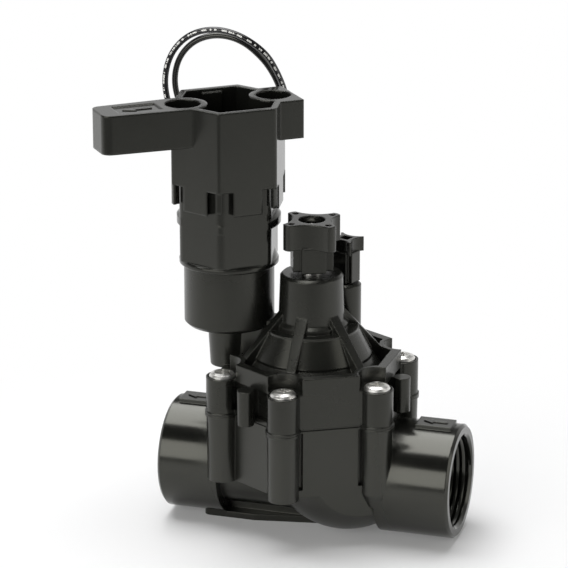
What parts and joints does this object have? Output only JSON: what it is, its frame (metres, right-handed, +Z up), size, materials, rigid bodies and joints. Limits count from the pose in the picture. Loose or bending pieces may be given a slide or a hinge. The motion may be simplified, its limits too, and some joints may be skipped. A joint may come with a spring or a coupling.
{
  "type": "zone valve",
  "caption": "Inline diaphragm zone valve with threaded inlet and outlet, screwed bonnet, flow-control knob, bleed screw and a solenoid in a hexagonal sleeve with a lever.",
  "frame": {"origin": "on the ground, in the base pad's underside, under the axis of the flow-control tower", "axes": "+Z up along the tower, +X out of the inlet port along the pipe, +Y towards the bleed screw's side"},
  "size_m": [0.1321, 0.1354, 0.1794],
  "materials": {
    "body_plastic": "glossy black moulded plastic",
    "solenoid_plastic": "satin black moulded plastic",
    "knob_plastic": "satin black moulded plastic",
    "inner_plastic": "natural moulded plastic",
    "stainless": "bright stainless steel",
    "rubber": "moulded rubber",
    "copper": "enamelled copper wire",
    "insulation": "glossy black wire insulation",
    "potting": "black potting resin"
  },
  "bodies": {
    "valve": {"valve_body": "body_plastic", "bonnet": "body_plastic", "bonnet_screws": "stainless", "diaphragm": "rubber", "diaphragm_spring": "stainless"},
    "poppet": {"seat_washer": "rubber", "diaphragm_support": "inner_plastic", "diaphragm_retainer": "inner_plastic"},
    "flow_control": {"flow_knob": "knob_plastic", "knob_screw": "stainless", "flow_stem": "stainless", "flow_stem_rings": "rubber", "flow_thrust_washer": "inner_plastic"},
    "flow_nut": {"flow_plunger": "inner_plastic"},
    "bleed_carrier": {"bleed_ring": "rubber"},
    "bleed": {"bleed_screw": "knob_plastic"},
    "solenoid_carrier": {"solenoid_ring": "rubber"},
    "solenoid": {"solenoid_housing": "solenoid_plastic", "coil_yoke": "stainless", "coil_bobbin": "inner_plastic", "coil_winding": "copper", "yoke_plate": "stainless", "guide_tube": "stainless", "solenoid_core": "stainless", "solenoid_cap": "potting", "handle_sleeve": "solenoid_plastic", "lead_grommet": "rubber", "armature_spring": "stainless", "lead_wire_a": "insulation", "lead_wire_b": "insulation", "lead_coil_a": "insulation", "lead_coil_b": "insulation"},
    "armature": {"solenoid_armature": "stainless", "armature_seal": "rubber"}
  },
  "joints": [
    {"name": "poppet_lift", "type": "slide", "parent": "valve", "child": "poppet", "axis": [0, 0, 1], "range_m": [0, 0.003], "stiffness_N_per_m": 150, "springref_m": -0.006, "deforming": ["diaphragm", "diaphragm_spring"]},
    {"name": "flow_turn", "type": "hinge", "parent": "valve", "child": "flow_control", "pos_m": [0, 0, 0.108], "axis": [0, 0, 1], "range_deg": [0, 900]},
    {"name": "flow_nut_slide", "type": "slide", "parent": "valve", "child": "flow_nut", "axis": [0, 0, 1], "range_m": [0, 0.005]},
    {"name": "bleed_rise", "type": "slide", "parent": "valve", "child": "bleed_carrier", "axis": [0, 0, 1], "range_m": [0, 0.00125]},
    {"name": "bleed_turn", "type": "hinge", "parent": "bleed_carrier", "child": "bleed", "pos_m": [0.00782, 0.01797, 0.095], "axis": [0, 0, 1], "range_deg": [0, 360]},
    {"name": "solenoid_rise", "type": "slide", "parent": "valve", "child": "solenoid_carrier", "axis": [0, 0, 1], "range_m": [0, 0.0005]},
    {"name": "solenoid_turn", "type": "hinge", "parent": "solenoid_carrier", "child": "solenoid", "pos_m": [-0.0319, 0, 0.1], "axis": [0, 0, 1], "range_deg": [0, 90]},
    {"name": "armature_lift", "type": "slide", "parent": "solenoid", "child": "armature", "axis": [0, 0, 1], "range_m": [0, 0.0015], "stiffness_N_per_m": 100, "springref_m": -0.004, "deforming": ["armature_spring"]}
  ],
  "couplings": [
    {"joint": "flow_turn", "follows": "flow_nut_slide", "rad_per_m": 3141.6},
    {"joint": "bleed_turn", "follows": "bleed_rise", "rad_per_m": 5026.5},
    {"joint": "solenoid_turn", "follows": "solenoid_rise", "rad_per_m": 3141.6}
  ]
}
